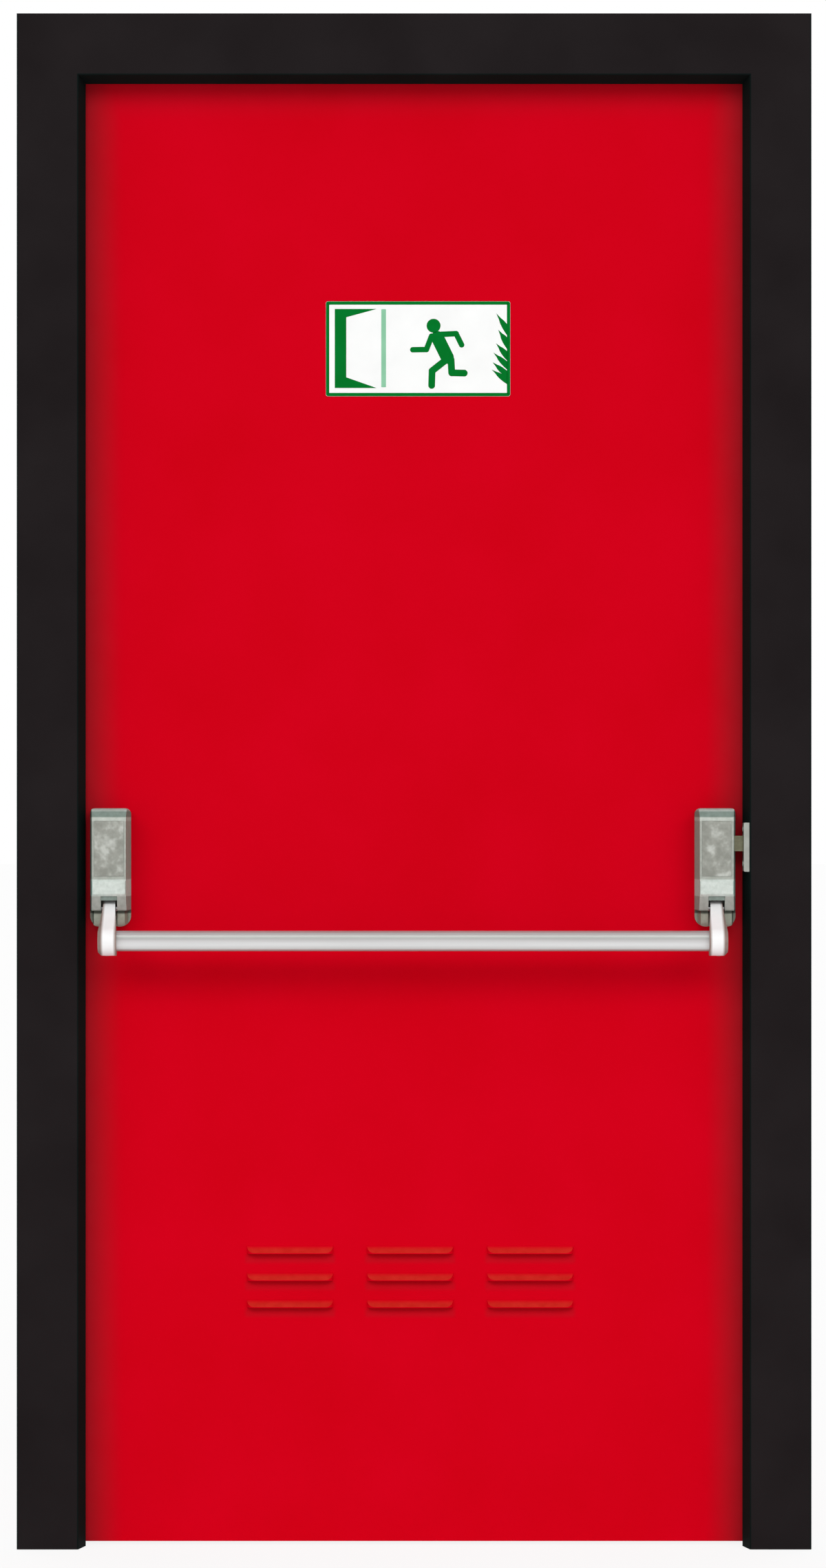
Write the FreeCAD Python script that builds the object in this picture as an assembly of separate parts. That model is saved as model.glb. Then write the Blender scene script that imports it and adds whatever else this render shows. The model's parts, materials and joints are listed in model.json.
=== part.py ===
"""Steel utility door: a red sheet-steel leaf in a black pressed-steel frame, with a push bar and its
latch on the push side and pressed louvres low in both skins.

Millimetres. X runs from the hinge jamb's wall face to the strike jamb, Y from the push side to the
pull side with zero on the leaf's push face, and Z up from the floor.
"""

import FreeCAD
import Part
import math
import os

from FreeCAD import Vector

# Doorway and frame
clear_width = 900.0
clear_height = 2005.0
face_width = 84.0
reveal_splay = 9.0
leaf_setback = 45.0
frame_sheet = 1.5
frame_bend = 1.0
wall_return = 15.0

# Leaf
leaf_thickness = 45.0
leaf_sheet = 1.0
leaf_bend = 1.0
leaf_lap = 10.0
leaf_gap = 7.0
floor_gap = 5.0
edge_lip = 15.0
channel_flange = 25.0

# Seal on the frame's stop
seal_height = 4.0
seal_width = 10.0
seal_clearance = 5.0

# Wall straps, their bolt holes and the access holes in the rebate
strap_count = 4
strap_height = 60.0
strap_thickness = 3.0
strap_head_margin = 138.0
bolt_hole_radius = 5.5
access_hole_radius = 9.0

# Hinges
hinge_names = ["lower", "middle", "upper"]
hinge_margin = 215.0
hinge_half_height = 58.0
hinge_plate_width = 45.0
hinge_plate_thickness = 4.0
barrel_radius = 10.0
barrel_clearance = 2.0
hinge_pin_radius = 6.0
hinge_pin_clearance = 0.1
knuckle_clearance = 0.5

# Pressed louvres
louvre_columns = 3
louvre_rows = 3
louvre_length = 118.0
louvre_height = 11.0
louvre_depth = 11.0
louvre_lip_height = 1.0
louvre_pitch_across = 165.0
louvre_pitch_up = 37.0
louvre_offset = -5.5
louvre_middle_height = 369.0

# Exit sign plate
sign_width = 253.5
sign_height = 130.5
sign_thickness = 2.0
sign_corner = 3.0
sign_offset = 5.5
sign_drop = 371.75

# Bar, its levers and their pivots
bar_height = 832.0
bar_depth = 80.0
bar_tall = 28.0
bar_thick = 20.0
bar_wall = 2.0
bar_socket = 10.0
socket_clearance = 0.2
pivot_rise = 43.0
pivot_radius = 4.0
pivot_clearance = 0.1
lever_width = 16.5
lever_flare = 4.3
lever_hub_radius = 11.0
lever_end_radius = 20.0
lever_clearance = 3.0

# Push bar housings
hinge_side_edge_gap = 5.0
latch_side_edge_gap = 8.5
unit_width = 56.0
unit_top_corner = 8.0
unit_bottom_corner = 14.0
base_thickness = 5.0
cheek_drop = 25.0
cheek_gap = 3.5
cheek_clearance = 1.0
cover_depth = 45.0
cover_draft = 4.8
cover_drop = 3.0
cover_wall = 2.5
cover_edge = 2.0
hub_clearance = 6.0
skirt_slope = 6.0
ridge_height = 23.0
ridge_proud = 3.0
field_height = 84.0
top_bevel_depth = 8.0
top_bevel_height = 13.0
panel_margin = 4.0
panel_border = 3.0
panel_recess = 0.8
panel_gap = 0.3

# Latch bolt and its keeper
latch_rise = 49.0
latch_tall = 21.0
latch_thick = 12.0
latch_bevel = 8.0
latch_engagement = 8.0
latch_tail = 28.0
latch_clearance = 0.5
keeper_drop = 5.0
keeper_tall = 67.0
keeper_corner = 2.0
keeper_sight_gap = 0.7
keeper_front_margin = 3.0
keeper_stop_margin = 5.0
keeper_clearance = 2.0

# Places of the frame and leaf that follow from these sizes
sight_width = face_width + reveal_splay
frame_width = clear_width + 2 * sight_width
frame_height = clear_height + sight_width
middle = frame_width / 2
front_y = -leaf_setback
back_y = leaf_thickness
frame_depth = back_y - front_y
stop_y = -(seal_height + seal_clearance)
reveal_run = stop_y - front_y
reveal_middle = (front_y + stop_y) / 2
bolt_line = (stop_y + back_y) / 2
rebate_u = sight_width - leaf_lap - leaf_gap
leaf_left = sight_width - leaf_lap
leaf_right = frame_width - leaf_left
leaf_top = clear_height + leaf_lap
hinge_x = leaf_left - leaf_gap / 2
hinge_y = leaf_thickness + barrel_radius + barrel_clearance

# Places of the housings, from the bar upwards
hinge_unit_x = sight_width + hinge_side_edge_gap + unit_width / 2
latch_unit_x = frame_width - sight_width - latch_side_edge_gap - unit_width / 2
lever_slot = lever_width + 2 * lever_clearance
pivot_height = bar_height + pivot_rise
pivot_depth = cover_depth - skirt_slope - cover_wall - cheek_gap - 2 * pivot_radius
unit_bottom = pivot_height - cheek_drop
cover_bottom = pivot_height - cover_drop
ridge_bottom = pivot_height + lever_hub_radius + hub_clearance
ridge_top = ridge_bottom + ridge_height
field_top = ridge_top + field_height
unit_top = field_top + top_bevel_height
latch_height = ridge_top + latch_rise
keeper_height = latch_height - keeper_drop
keeper_x = frame_width - sight_width + keeper_sight_gap


def spread(first, last, count):
    """Evenly spaced places from first to last."""
    return [first + (last - first) * i / (count - 1) for i in range(count)]


strap_centres = spread(strap_height / 2, frame_height - strap_head_margin, strap_count)
hinge_centres = spread(floor_gap + hinge_margin, leaf_top - hinge_margin, len(hinge_names))


def line(a, b):
    return Part.LineSegment(a, b).toShape()


def rounded_edges(points, radii):
    """Edges of an open path of straight runs, with an arc at each inner point that has a radius."""
    edges = []
    start = points[0]
    for before, corner, after, radius in zip(points, points[1:], points[2:], radii[1:]):
        if radius <= 0:
            edges.append(line(start, corner))
            start = corner
            continue
        back = (before - corner).normalize()
        ahead = (after - corner).normalize()
        half = back.getAngle(ahead) / 2
        reach = radius / math.tan(half)
        inward = (back + ahead).normalize()
        centre = corner + inward * (radius / math.sin(half))
        first = corner + back * reach
        last = corner + ahead * reach
        edges.append(line(start, first))
        edges.append(Part.Arc(first, centre - inward * radius, last).toShape())
        start = last
    edges.append(line(start, points[-1]))
    return edges


def rounded_face(points, radii):
    """A face inside a closed outline, with each corner rounded by its own radius."""
    seam = (points[0] + points[-1]) * 0.5
    path = [seam] + points + [seam]
    return Part.Face(Part.Wire(rounded_edges(path, [0] + radii + [0])))


def sheet_section(points, thickness, bend, place):
    """The section of a folded sheet. points run along its visible side, with the sheet to their left."""
    directions = [(Vector(*b) - Vector(*a)).normalize() for a, b in zip(points, points[1:])]
    normals = [Vector(-d.y, d.x, 0) for d in directions]
    turns = [a.cross(b).z for a, b in zip(directions, directions[1:])]
    outer = [Vector(*p) for p in points]
    inner = [outer[0] + normals[0] * thickness]
    for corner, a, b in zip(outer[1:-1], normals, normals[1:]):
        inner.append(corner + (a + b) * (thickness / (1 + a.dot(b))))
    inner.append(outer[-1] + normals[-1] * thickness)
    outer_radii = [0] + [bend + thickness if t > 0 else bend for t in turns] + [0]
    inner_radii = [0] + [bend if t > 0 else bend + thickness for t in turns] + [0]
    outer = [place(p.x, p.y) for p in outer]
    inner = [place(p.x, p.y) for p in inner][::-1]
    edges = rounded_edges(outer, outer_radii) + [line(outer[-1], inner[0])]
    edges += rounded_edges(inner, inner_radii[::-1]) + [line(inner[-1], outer[0])]
    return Part.Face(Part.Wire(edges))


def box(x, y, z):
    """A box between pairs of limits."""
    return Part.makeBox(x[1] - x[0], y[1] - y[0], z[1] - z[0], Vector(x[0], y[0], z[0]))


def bar_along_x(radius, x0, x1, y, z):
    return Part.makeCylinder(radius, x1 - x0, Vector(x0, y, z), Vector(1, 0, 0))


def save(name, *solids):
    """Writes one node from one solid, or from several that don't touch."""
    shape = solids[0] if len(solids) == 1 else Part.makeCompound(list(solids))
    assert shape.isValid(), name
    assert all(s.Volume > 0 for s in shape.Solids), name
    shape.exportStep(os.path.join("parts", name + ".step"))
    print(f"{name}: {len(shape.Solids)} solids, {shape.Volume / 1000:.1f} cm3")


# Frame

def hinge_place(u, y):
    return Vector(u, y, 0)


def strike_place(u, y):
    return Vector(frame_width - u, y, 0)


def head_place(u, y):
    return Vector(0, y, frame_height - u)


def mitre_wedge(x_outer, inward, above):
    """All there is above or below a corner's mitre, which runs inward and down at 45 degrees."""
    beyond = 2 * sight_width
    corner = Vector(x_outer, front_y - beyond, frame_height)
    side = Vector(inward * beyond, 0, beyond)
    along = Vector(inward * beyond, 0, -beyond)
    points = [corner - along, corner + (side if above else side * -1), corner + along]
    wedge = Part.Face(Part.makePolygon(points + points[:1]))
    return wedge.extrude(Vector(0, frame_depth + 2 * beyond, 0))


def along_jamb(section, x_outer, inward):
    jamb = section.extrude(Vector(0, 0, frame_height))
    return jamb.cut(mitre_wedge(x_outer, inward, True))


def along_hinge_jamb(section):
    return along_jamb(section(hinge_place), 0, 1)


def along_strike_jamb(section):
    return along_jamb(section(strike_place), frame_width, -1)


def along_head(section):
    head = section(head_place).extrude(Vector(frame_width, 0, 0))
    return head.cut([mitre_wedge(0, 1, False), mitre_wedge(frame_width, -1, False)])


def frame_section(place):
    """Wall return, front face, splayed reveal, stop, rebate, back face and wall return."""
    points = [
        (0, front_y + wall_return, 0),
        (0, front_y, 0),
        (face_width, front_y, 0),
        (sight_width, stop_y, 0),
        (rebate_u, stop_y, 0),
        (rebate_u, back_y, 0),
        (0, back_y, 0),
        (0, back_y - wall_return, 0),
    ]
    return sheet_section(points, frame_sheet, frame_bend, place)


def seal_section(place):
    """A flat-backed rubber strip with a round crown, on the stop."""
    near = (rebate_u + sight_width) / 2 - seal_width / 2
    far = near + seal_width
    side = stop_y + seal_height / 2
    crown = Part.Arc(
        place(near, side), place((near + far) / 2, stop_y + seal_height), place(far, side)
    ).toShape()
    foot = [place(far, side), place(far, stop_y), place(near, stop_y), place(near, side)]
    return Part.Face(Part.Wire([crown] + [line(a, b) for a, b in zip(foot, foot[1:])]))


def access_holes(x0, x1):
    return [bar_along_x(access_hole_radius, x0, x1, bolt_line, z) for z in strap_centres]


def wall_straps(x0, x1):
    """Flat straps that close the throat of a jamb where it is bolted to the wall."""
    straps = []
    for z in strap_centres:
        strap = box(
            (x0, x1),
            (front_y + wall_return, back_y - wall_return),
            (z - strap_height / 2, z + strap_height / 2),
        )
        straps.append(strap.cut(bar_along_x(bolt_hole_radius, x0 - 1, x1 + 1, bolt_line, z)))
    return straps


def reveal_x(y):
    """Where the strike jamb's splayed reveal lies at depth y."""
    return frame_width - face_width - reveal_splay * (y - front_y) / reveal_run


def keeper_window(x0, x1):
    """The pocket in the keeper, and the hole behind it in the reveal, that take the latch bolt."""
    thick = latch_thick / 2 + keeper_clearance
    tall = latch_tall / 2 + keeper_clearance
    return box(
        (x0, x1),
        (reveal_middle - thick, reveal_middle + thick),
        (latch_height - tall, latch_height + tall),
    )


def latch_keeper():
    """A wedge that fills the splay of the reveal, with a pocket for the latch in its inner side."""
    front = front_y + keeper_front_margin
    back = stop_y - keeper_stop_margin
    low = keeper_height - keeper_tall / 2
    high = keeper_height + keeper_tall / 2
    section = [
        Vector(keeper_x, front, low),
        Vector(reveal_x(front), front, low),
        Vector(reveal_x(back), back, low),
        Vector(keeper_x, back, low),
    ]
    wedge = Part.Face(Part.makePolygon(section + section[:1])).extrude(Vector(0, 0, keeper_tall))
    outline = [
        Vector(keeper_x, front, low),
        Vector(frame_width, front, low),
        Vector(frame_width, front, high),
        Vector(keeper_x, front, high),
    ]
    corner = keeper_corner
    outline = rounded_face(outline, [corner, 0, 0, corner]).extrude(Vector(0, back - front, 0))
    return wedge.common(outline).cut(keeper_window(0, frame_width))


def build_frame():
    hinge_jamb = along_hinge_jamb(frame_section)
    strike_jamb = along_strike_jamb(frame_section)
    save("hinge_jamb", hinge_jamb.cut(access_holes(rebate_u / 2, sight_width)))
    strike_cuts = access_holes(frame_width - sight_width, frame_width - rebate_u / 2)
    strike_cuts.append(keeper_window(keeper_x, frame_width - rebate_u))
    save("strike_jamb", strike_jamb.cut(strike_cuts))
    save("frame_head", along_head(frame_section))
    save("hinge_side_seal", along_hinge_jamb(seal_section))
    save("strike_side_seal", along_strike_jamb(seal_section))
    save("head_seal", along_head(seal_section))
    save("hinge_jamb_wall_straps", *wall_straps(0, strap_thickness))
    save("strike_jamb_wall_straps", *wall_straps(frame_width - strap_thickness, frame_width))
    save("latch_keeper", latch_keeper())


# Hinges

def hinge_half(z0, z1, side):
    """A plate on the back of the frame (side -1) or the leaf (side 1), with its barrel at the edge."""
    plate_ends = sorted([hinge_x, hinge_x + side * hinge_plate_width])
    plate = box(plate_ends, (leaf_thickness, leaf_thickness + hinge_plate_thickness), (z0, z1))
    barrel = Part.makeCylinder(barrel_radius, z1 - z0, Vector(hinge_x, hinge_y, z0))
    return plate.fuse(barrel).removeSplitter()


def build_hinges():
    for name, z in zip(hinge_names, hinge_centres):
        seat = z - knuckle_clearance / 2
        top = z + knuckle_clearance / 2
        foot = seat - hinge_half_height
        pin_top = top + hinge_half_height
        pin = Part.makeCylinder(hinge_pin_radius, pin_top - foot, Vector(hinge_x, hinge_y, foot))
        save(f"{name}_hinge_frame_half", hinge_half(foot, seat, -1).fuse(pin).removeSplitter())
        bore_radius = hinge_pin_radius + hinge_pin_clearance
        bore = Part.makeCylinder(bore_radius, 2 * hinge_half_height, Vector(hinge_x, hinge_y, z))
        save(f"{name}_hinge_leaf_half", hinge_half(top, pin_top, 1).cut(bore))


# Leaf

def louvre_wedge(inset, out):
    """A hood's side profile drawn along it: an upright lip below a slope that meets the sheet."""
    half = louvre_length / 2
    depth = louvre_depth - inset
    points = [
        Vector(-half, 0, 0),
        Vector(-half, out * depth, 0),
        Vector(-half, out * depth, louvre_lip_height),
        Vector(-half, 0, louvre_height - inset),
    ]
    return Part.Face(Part.makePolygon(points + points[:1])).extrude(Vector(louvre_length, 0, 0))


def louvre_plan(inset, taper, corner, out):
    """A hood seen from above, with ends that are rounded or that taper to the lip."""
    half = louvre_length / 2 - inset
    lip = out * (louvre_depth - inset)
    points = [
        Vector(-half, 0, 0),
        Vector(-half + taper, lip, 0),
        Vector(half - taper, lip, 0),
        Vector(half, 0, 0),
    ]
    return rounded_face(points, [0, corner, corner, 0]).extrude(Vector(0, 0, louvre_height))


def louvre_hood(out):
    """A pressed hood with round ends, hollow and open below."""
    hood = louvre_wedge(0, out).common(louvre_plan(0, 0, louvre_depth - leaf_sheet, out))
    hollow = louvre_wedge(leaf_sheet, out).common(louvre_plan(leaf_sheet, louvre_depth / 2, 0, out))
    return hood.cut(hollow)


def add_louvres(sheet, face_y, out):
    """Presses the grid of louvres out of a sheet whose outer face lies at face_y."""
    hood = louvre_hood(out)
    reach = louvre_length / 2 - leaf_sheet
    sheet_y = sorted([0, -out * leaf_sheet])
    slot = box((-reach, reach), sheet_y, (0, louvre_height - leaf_sheet))
    hoods = []
    slots = []
    for column in range(louvre_columns):
        for row in range(louvre_rows):
            across = (column - (louvre_columns - 1) / 2) * louvre_pitch_across
            up = (row - (louvre_rows - 1) / 2) * louvre_pitch_up
            x = middle + louvre_offset + across
            place = Vector(x, face_y, louvre_middle_height + up - louvre_height / 2)
            hoods.append(hood.translated(place))
            slots.append(slot.translated(place))
    return sheet.cut(slots).fuse(hoods).removeSplitter()


def build_leaf():
    inside_y = leaf_thickness - leaf_sheet
    tray = [
        (leaf_left + edge_lip, inside_y, 0),
        (leaf_left, inside_y, 0),
        (leaf_left, 0, 0),
        (leaf_right, 0, 0),
        (leaf_right, inside_y, 0),
        (leaf_right - edge_lip, inside_y, 0),
    ]
    section = sheet_section(tray, leaf_sheet, leaf_bend, lambda x, y: Vector(x, y, floor_gap))
    height = leaf_top - floor_gap
    save("push_side_skin", add_louvres(section.extrude(Vector(0, 0, height)), 0, -1))
    back = box((leaf_left, leaf_right), (inside_y, leaf_thickness), (floor_gap, leaf_top))
    save("pull_side_skin", add_louvres(back, leaf_thickness, 1))
    for name, edge, turn in (("leaf_top_channel", leaf_top, -1), ("leaf_bottom_channel", floor_gap, 1)):
        channel = [
            (inside_y - leaf_sheet, channel_flange, 0),
            (inside_y - leaf_sheet, 0, 0),
            (leaf_sheet, 0, 0),
            (leaf_sheet, channel_flange, 0),
        ]
        fold = leaf_sheet + leaf_bend
        ends = (leaf_left + fold, leaf_right - fold)

        def place(y, rise):
            return Vector(ends[0], y, edge + turn * rise)

        folded = sheet_section(channel[::-1], leaf_sheet, leaf_bend, place)
        save(name, folded.extrude(Vector(ends[1] - ends[0], 0, 0)))
    x = middle + sign_offset
    half = sign_width / 2
    low = leaf_top - sign_drop - sign_height / 2
    corners = [
        Vector(x - half, 0, low),
        Vector(x + half, 0, low),
        Vector(x + half, 0, low + sign_height),
        Vector(x - half, 0, low + sign_height),
    ]
    plate = rounded_face(corners, [sign_corner] * 4)
    save("exit_sign_plate", plate.extrude(Vector(0, -sign_thickness, 0)))


# Push bar housings, levers, bar and latch. Each housing is drawn about its own middle and then moved.

def front_outline(half_width, bottom, top, bottom_corner, top_corner, y0, y1):
    points = [
        Vector(-half_width, y0, bottom),
        Vector(half_width, y0, bottom),
        Vector(half_width, y0, top),
        Vector(-half_width, y0, top),
    ]
    radii = [bottom_corner, bottom_corner, top_corner, top_corner]
    return rounded_face(points, radii).extrude(Vector(0, y1 - y0, 0))


def half_width_at(y):
    """Half the width of a cover's drafted sides, which close in from the base plate to the front."""
    return unit_width / 2 - cover_draft * (-y - base_thickness) / (cover_depth - base_thickness)


def plan_outline(inset, y_back, y_front, corner, z0, z1):
    """The drafted sides of a cover seen from above, or a shape inset from them."""
    back = half_width_at(y_back) - inset
    front = half_width_at(y_front) - inset
    points = [
        Vector(-back, y_back, z0),
        Vector(-front, y_front, z0),
        Vector(front, y_front, z0),
        Vector(back, y_back, z0),
    ]
    return rounded_face(points, [0, corner, corner, 0]).extrude(Vector(0, 0, z1 - z0))


def chassis():
    """Base plate with two cheeks that carry the pivot pin either side of the lever."""
    half = unit_width / 2
    outline = (half, unit_bottom, unit_top, unit_bottom_corner, unit_top_corner)
    cheek_front = -(pivot_depth + 2 * pivot_radius)
    cheek_top = pivot_height + 3 * pivot_radius
    corner = 2 * pivot_radius
    points = [
        Vector(-half, -base_thickness, unit_bottom),
        Vector(-half, cheek_front, unit_bottom),
        Vector(-half, cheek_front, cheek_top),
        Vector(-half, -base_thickness, cheek_top),
    ]
    cheeks = rounded_face(points, [0, corner, 0, 0]).extrude(Vector(unit_width, 0, 0))
    inset = cover_wall + cheek_clearance
    cheeks = cheeks.common(plan_outline(inset, 0, cheek_front, 0, unit_bottom, unit_top))
    cheeks = cheeks.common(front_outline(*outline, 0, cheek_front))
    slot_half = lever_slot / 2
    slot = box((-slot_half, slot_half), (2 * cheek_front, -base_thickness), (unit_bottom, unit_top))
    plate = front_outline(*outline, 0, -base_thickness)
    hole = bar_along_x(pivot_radius + pivot_clearance, -half, half, -pivot_depth, pivot_height)
    return plate.fuse(cheeks.cut([slot, hole])).removeSplitter()


def cover(latch_side):
    """Cast cover, open at the back and below, with a bevelled top, a ridge and a slot for the lever."""
    half = unit_width / 2
    front = -cover_depth
    proud = front - ridge_proud
    skirt = front + skirt_slope
    side = [
        Vector(-half, -base_thickness, unit_top),
        Vector(-half, front + top_bevel_depth, unit_top),
        Vector(-half, front, field_top),
        Vector(-half, front, ridge_top),
        Vector(-half, proud, ridge_top - ridge_proud),
        Vector(-half, proud, ridge_bottom + ridge_proud),
        Vector(-half, front, ridge_bottom),
        Vector(-half, skirt, cover_bottom),
        Vector(-half, -base_thickness, cover_bottom),
    ]
    radii = [0, 3 * ridge_proud, ridge_proud, 0, ridge_proud, ridge_proud, 0, 0, 0]
    block = rounded_face(side, radii).extrude(Vector(unit_width, 0, 0))
    block = block.common(
        front_outline(half, cover_bottom, unit_top, 0, unit_top_corner, 0, 2 * proud)
    )
    block = block.common(plan_outline(0, -base_thickness, proud, cover_edge, cover_bottom, unit_top))
    inner_front = front + cover_wall
    inner = [
        Vector(-half, 0, unit_top - cover_wall),
        Vector(-half, inner_front + top_bevel_depth, unit_top - cover_wall),
        Vector(-half, inner_front, field_top - cover_wall),
        Vector(-half, inner_front, ridge_bottom),
        Vector(-half, skirt + cover_wall, cover_bottom),
        Vector(-half, skirt + cover_wall, unit_bottom),
        Vector(-half, 0, unit_bottom),
    ]
    hollow = Part.Face(Part.makePolygon(inner + inner[:1])).extrude(Vector(unit_width, 0, 0))
    hollow = hollow.common(plan_outline(cover_wall, 0, inner_front, 0, unit_bottom, unit_top))
    slot_half = lever_slot / 2
    slot = box((-slot_half, slot_half), (2 * proud, -base_thickness), (unit_bottom, ridge_bottom))
    cuts = [hollow, slot, panel_block(0, -1)]
    if latch_side:
        cuts.append(latch_window())
    return block.cut(cuts).removeSplitter()


def panel_block(inset, over):
    """The face panel, or the recess for it, which also takes in what lies over the cover's front."""
    front = -cover_depth
    half_width = half_width_at(front) - panel_border - inset
    return box(
        (-half_width, half_width),
        (front + over, front + panel_recess),
        (ridge_top + panel_margin + inset, field_top - panel_margin - inset),
    )


def latch_window():
    half = unit_width / 2
    tall = latch_tall / 2 + latch_clearance
    thick = latch_thick / 2 + latch_clearance
    return box(
        (half_width_at(-cover_depth) - 2 * cover_wall, half),
        (reveal_middle - thick, reveal_middle + thick),
        (latch_height - tall, latch_height + tall),
    )


def lever_axis():
    """The lever's hub, the unit vector from there to the bar, and the distance between them."""
    hub = Vector(0, -pivot_depth, pivot_height)
    along = Vector(0, -bar_depth, bar_height) - hub
    length = along.Length
    return hub, along.normalize(), length


def lever_normal(side):
    """Outward normal of the lever's face towards the leaf (side 1) or the viewer (side -1)."""
    hub, along, length = lever_axis()
    growth = (lever_end_radius - lever_hub_radius) / length
    across = Vector(0, -along.z, along.y) * side
    return across * math.sqrt(1 - growth * growth) - along * growth


def lever_outline(x):
    """Side outline of a lever: a small round hub and a larger round end, joined by tangents."""
    hub, along, length = lever_axis()
    hub = hub + Vector(x, 0, 0)
    end = hub + along * length
    hub_back, hub_front = (hub + lever_normal(side) * lever_hub_radius for side in (1, -1))
    end_back, end_front = (end + lever_normal(side) * lever_end_radius for side in (1, -1))
    edges = [
        line(hub_back, end_back),
        Part.Arc(end_back, end + along * lever_end_radius, end_front).toShape(),
        line(end_front, hub_front),
        Part.Arc(hub_front, hub - along * lever_hub_radius, hub_back).toShape(),
    ]
    return Part.Face(Part.Wire(edges))


def lever_flare_block():
    """The lever seen square to its slope: narrow at the hub, and flaring to both sides at the bar."""
    half = lever_width / 2
    reach = half + lever_flare
    hub, along, length = lever_axis()
    deep = Vector(0, -along.z, along.y) * (2 * lever_end_radius)
    near = -2 * lever_hub_radius
    far = length + 2 * lever_end_radius
    side = [(near, half), (lever_hub_radius, half), (length, reach), (far, reach)]
    outline = side + [(s, -x) for s, x in reversed(side)]
    points = [hub + along * s + Vector(x, 0, 0) - deep for s, x in outline]
    return Part.Face(Part.makePolygon(points + points[:1])).extrude(deep * 2)


def lever(outward):
    """A flared lever, chamfered on its outer side, with a bore for the pin and a socket for the bar."""
    reach = lever_width / 2 + lever_flare
    blank = lever_outline(-reach).extrude(Vector(2 * reach, 0, 0))
    outer_face = max(blank.Faces, key=lambda face: face.CenterOfMass.x)
    solid = blank.makeChamfer(lever_flare, outer_face.Edges).common(lever_flare_block())
    bore = bar_along_x(pivot_radius + pivot_clearance, -reach, reach, -pivot_depth, pivot_height)
    socket = bar_section(socket_clearance, -reach).extrude(Vector(bar_socket, 0, 0))
    solid = solid.cut([bore, socket])
    if outward < 0:
        solid = solid.mirror(Vector(0, 0, 0), Vector(1, 0, 0))
    return solid


def bar_section(grow, x):
    """The bar's upright oval outline, grown by a clearance or shrunk by a wall."""
    radius = bar_thick / 2 + grow
    rise = (bar_tall - bar_thick) / 2
    y = -bar_depth
    top = bar_height + rise
    low = bar_height - rise
    edges = [
        Part.Arc(Vector(x, y - radius, top), Vector(x, y, top + radius), Vector(x, y + radius, top)).toShape(),
        line(Vector(x, y + radius, top), Vector(x, y + radius, low)),
        Part.Arc(Vector(x, y + radius, low), Vector(x, y, low - radius), Vector(x, y - radius, low)).toShape(),
        line(Vector(x, y - radius, low), Vector(x, y - radius, top)),
    ]
    return Part.Face(Part.Wire(edges))


def push_bar():
    """An oval tube between the bottoms of the sockets in the two levers."""
    inset = lever_width / 2 + lever_flare - bar_socket + socket_clearance
    start = hinge_unit_x + inset
    run = Vector(latch_unit_x - inset - start, 0, 0)
    return bar_section(0, start).extrude(run).cut(bar_section(-bar_wall, start).extrude(run))


def latch_bolt():
    """A flat bolt whose tip is bevelled on the side that meets the keeper as the leaf shuts."""
    tip = keeper_x + latch_engagement
    tail = latch_unit_x + unit_width / 2 - latch_tail
    near = reveal_middle - latch_thick / 2
    far = reveal_middle + latch_thick / 2
    z = latch_height - latch_tall / 2
    points = [
        Vector(tail, near, z),
        Vector(tip - latch_bevel, near, z),
        Vector(tip, near + latch_bevel, z),
        Vector(tip, far, z),
        Vector(tail, far, z),
    ]
    return Part.Face(Part.makePolygon(points + points[:1])).extrude(Vector(0, 0, latch_tall))


def build_push_bar():
    pin_half = half_width_at(-pivot_depth) - cover_wall - 2 * cheek_clearance
    pin = bar_along_x(pivot_radius, -pin_half, pin_half, -pivot_depth, pivot_height)
    for name, outward, x in (("hinge_side", -1, hinge_unit_x), ("latch_side", 1, latch_unit_x)):
        place = Vector(x, 0, 0)
        save(f"{name}_chassis", chassis().translated(place))
        save(f"{name}_cover", cover(outward > 0).translated(place))
        save(f"{name}_face_panel", panel_block(panel_gap, 0).translated(place))
        save(f"{name}_pivot_pin", pin.translated(place))
        save(f"{name}_lever", lever(outward).translated(place))
    save("push_bar", push_bar())
    save("latch_bolt", latch_bolt())


os.makedirs("parts", exist_ok=True)
build_frame()
build_hinges()
build_leaf()
build_push_bar()
print(f"hinge axis x {hinge_x:.2f} y {hinge_y:.2f}, frame {frame_width:.1f} x {frame_height:.1f}")
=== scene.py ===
# %% [markdown]
# # Dressing a steel utility door
# The door comes from the CAD program as separate solids at their real size: a black pressed-steel frame, a
# red leaf, and a push bar between two cast housings. In this lesson they get their paint, metal and rubber,
# with some light and shade painted into their colours, and the small things that a draughtsman leaves out:
# the sign's picture, hammered panels, grey slot lips in place of shade, screws, caps and plugs. Everything
# is in metres, X to the strike side, Y away from the viewer and Z up.

import bmesh
import bpy
import json
import math
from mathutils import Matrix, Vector


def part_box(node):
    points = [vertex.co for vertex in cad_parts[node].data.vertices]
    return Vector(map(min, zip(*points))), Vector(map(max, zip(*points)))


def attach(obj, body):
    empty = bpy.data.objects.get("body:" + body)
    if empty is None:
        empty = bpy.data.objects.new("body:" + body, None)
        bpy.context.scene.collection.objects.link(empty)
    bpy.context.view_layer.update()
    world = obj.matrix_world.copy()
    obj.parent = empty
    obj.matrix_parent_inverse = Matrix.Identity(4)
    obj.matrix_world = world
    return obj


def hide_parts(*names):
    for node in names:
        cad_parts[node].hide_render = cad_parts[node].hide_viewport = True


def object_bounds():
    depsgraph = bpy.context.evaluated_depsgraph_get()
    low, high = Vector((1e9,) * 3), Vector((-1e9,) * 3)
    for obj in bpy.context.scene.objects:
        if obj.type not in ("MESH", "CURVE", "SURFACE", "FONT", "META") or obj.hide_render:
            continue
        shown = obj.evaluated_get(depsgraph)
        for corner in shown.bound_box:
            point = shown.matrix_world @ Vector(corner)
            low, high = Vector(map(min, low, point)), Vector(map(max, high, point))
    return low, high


MM = 0.001
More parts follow.
